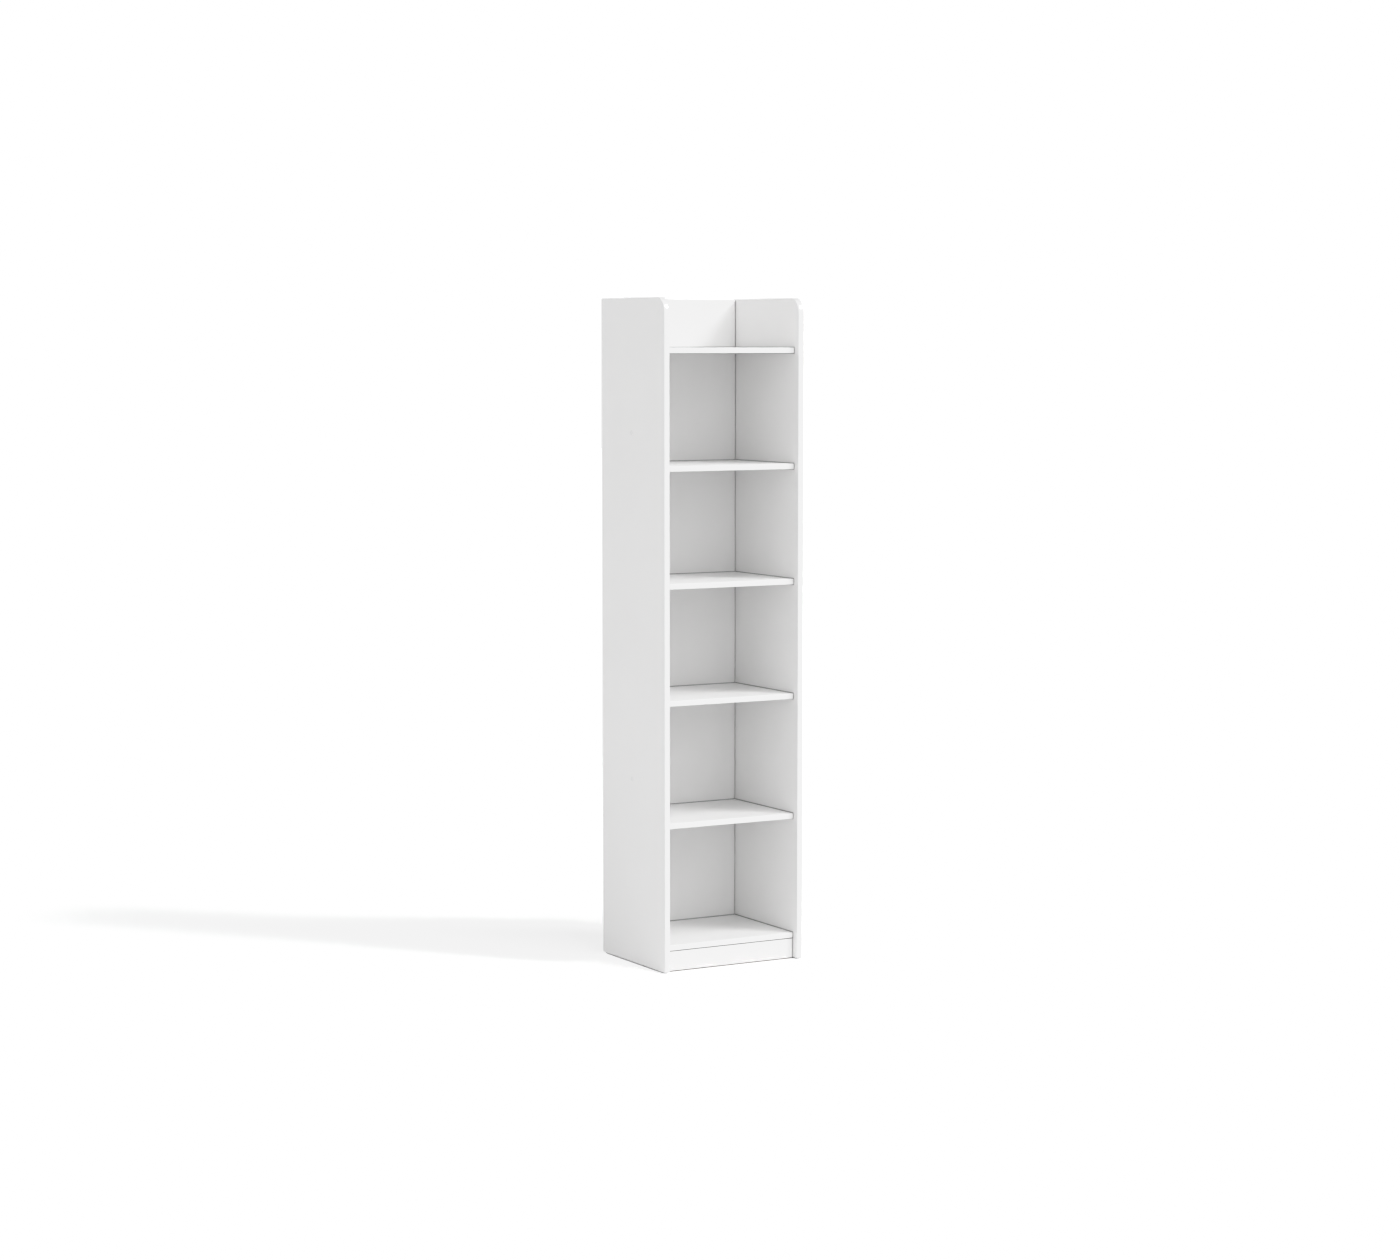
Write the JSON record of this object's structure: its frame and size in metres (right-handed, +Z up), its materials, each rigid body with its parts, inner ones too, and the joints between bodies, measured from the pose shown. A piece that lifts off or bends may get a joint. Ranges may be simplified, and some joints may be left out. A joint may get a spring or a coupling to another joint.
{
  "type": "open bookcase",
  "caption": "Tall narrow open bookcase in white coated board, with fixed shelves between full-height sides, a gallery round its top shelf and a plinth.",
  "frame": {"origin": "on the floor, under the middle of the case", "axes": "+Z up, open front towards -Y, +X to the right when facing the front"},
  "size_m": [0.4526, 0.37, 1.89],
  "materials": {
    "coated_board": "white melamine film on chipboard, fine matt texture",
    "edging": "white plastic band, satin",
    "beech": "bare beech",
    "zinc_steel": "bright zinc plate",
    "cast_zinc": "bare zinc casting, dull",
    "cap_plastic": "white, smooth",
    "glide_plastic": "light grey, matt"
  },
  "bodies": {
    "case": {"back_panel": "coated_board", "plinth": "coated_board", "side_panel_left": "coated_board", "side_panel_right": "coated_board", "bottom_shelf": "coated_board", "shelf_1": "coated_board", "shelf_2": "coated_board", "shelf_3": "coated_board", "shelf_4": "coated_board", "top_shelf": "coated_board", "back_edging": "edging", "side_edging_left": "edging", "side_edging_right": "edging", "bottom_shelf_edging": "edging", "shelf_1_edging": "edging", "shelf_2_edging": "edging", "shelf_3_edging": "edging", "shelf_4_edging": "edging", "top_shelf_edging": "edging", "dowels_left": "beech", "cam_bolts_left": "zinc_steel", "cover_caps_left": "cap_plastic", "hanger_left": "zinc_steel", "plinth_bracket_left": "zinc_steel", "glide_front_left": "glide_plastic", "glide_rear_left": "glide_plastic", "dowels_right": "beech", "cam_bolts_right": "zinc_steel", "cover_caps_right": "cap_plastic", "hanger_right": "zinc_steel", "plinth_bracket_right": "zinc_steel", "glide_front_right": "glide_plastic", "glide_rear_right": "glide_plastic", "plinth_dowels": "beech", "back_screws": "zinc_steel", "hanger_screws": "zinc_steel", "bracket_screws": "zinc_steel", "glide_nails": "zinc_steel"},
    "bottom_shelf_cam_left": {"bottom_shelf_cam_left": "cast_zinc"},
    "bottom_shelf_cam_right": {"bottom_shelf_cam_right": "cast_zinc"},
    "shelf_1_cam_left": {"shelf_1_cam_left": "cast_zinc"},
    "shelf_1_cam_right": {"shelf_1_cam_right": "cast_zinc"},
    "shelf_2_cam_left": {"shelf_2_cam_left": "cast_zinc"},
    "shelf_2_cam_right": {"shelf_2_cam_right": "cast_zinc"},
    "shelf_3_cam_left": {"shelf_3_cam_left": "cast_zinc"},
    "shelf_3_cam_right": {"shelf_3_cam_right": "cast_zinc"},
    "shelf_4_cam_left": {"shelf_4_cam_left": "cast_zinc"},
    "shelf_4_cam_right": {"shelf_4_cam_right": "cast_zinc"},
    "top_shelf_cam_left": {"top_shelf_cam_left": "cast_zinc"},
    "top_shelf_cam_right": {"top_shelf_cam_right": "cast_zinc"}
  },
  "joints": [
    {"name": "bottom_shelf_cam_left_turn", "type": "hinge", "parent": "case", "child": "bottom_shelf_cam_left", "pos_m": [-0.175, 0.001, 0.06], "axis": [0, 0, 1], "range_deg": [0, 180]},
    {"name": "bottom_shelf_cam_right_turn", "type": "hinge", "parent": "case", "child": "bottom_shelf_cam_right", "pos_m": [0.175, 0.001, 0.06], "axis": [0, 0, 1], "range_deg": [0, 180]},
    {"name": "shelf_1_cam_left_turn", "type": "hinge", "parent": "case", "child": "shelf_1_cam_left", "pos_m": [-0.175, 0.001, 0.4055], "axis": [0, 0, 1], "range_deg": [0, 180]},
    {"name": "shelf_1_cam_right_turn", "type": "hinge", "parent": "case", "child": "shelf_1_cam_right", "pos_m": [0.175, 0.001, 0.4055], "axis": [0, 0, 1], "range_deg": [0, 180]},
    {"name": "shelf_2_cam_left_turn", "type": "hinge", "parent": "case", "child": "shelf_2_cam_left", "pos_m": [-0.175, 0.001, 0.751], "axis": [0, 0, 1], "range_deg": [0, 180]},
    {"name": "shelf_2_cam_right_turn", "type": "hinge", "parent": "case", "child": "shelf_2_cam_right", "pos_m": [0.175, 0.001, 0.751], "axis": [0, 0, 1], "range_deg": [0, 180]},
    {"name": "shelf_3_cam_left_turn", "type": "hinge", "parent": "case", "child": "shelf_3_cam_left", "pos_m": [-0.175, 0.001, 1.079], "axis": [0, 0, 1], "range_deg": [0, 180]},
    {"name": "shelf_3_cam_right_turn", "type": "hinge", "parent": "case", "child": "shelf_3_cam_right", "pos_m": [0.175, 0.001, 1.079], "axis": [0, 0, 1], "range_deg": [0, 180]},
    {"name": "shelf_4_cam_left_turn", "type": "hinge", "parent": "case", "child": "shelf_4_cam_left", "pos_m": [-0.175, 0.001, 1.407], "axis": [0, 0, 1], "range_deg": [0, 180]},
    {"name": "shelf_4_cam_right_turn", "type": "hinge", "parent": "case", "child": "shelf_4_cam_right", "pos_m": [0.175, 0.001, 1.407], "axis": [0, 0, 1], "range_deg": [0, 180]},
    {"name": "top_shelf_cam_left_turn", "type": "hinge", "parent": "case", "child": "top_shelf_cam_left", "pos_m": [-0.175, 0.001, 1.735], "axis": [0, 0, 1], "range_deg": [0, 180]},
    {"name": "top_shelf_cam_right_turn", "type": "hinge", "parent": "case", "child": "top_shelf_cam_right", "pos_m": [0.175, 0.001, 1.735], "axis": [0, 0, 1], "range_deg": [0, 180]}
  ]
}
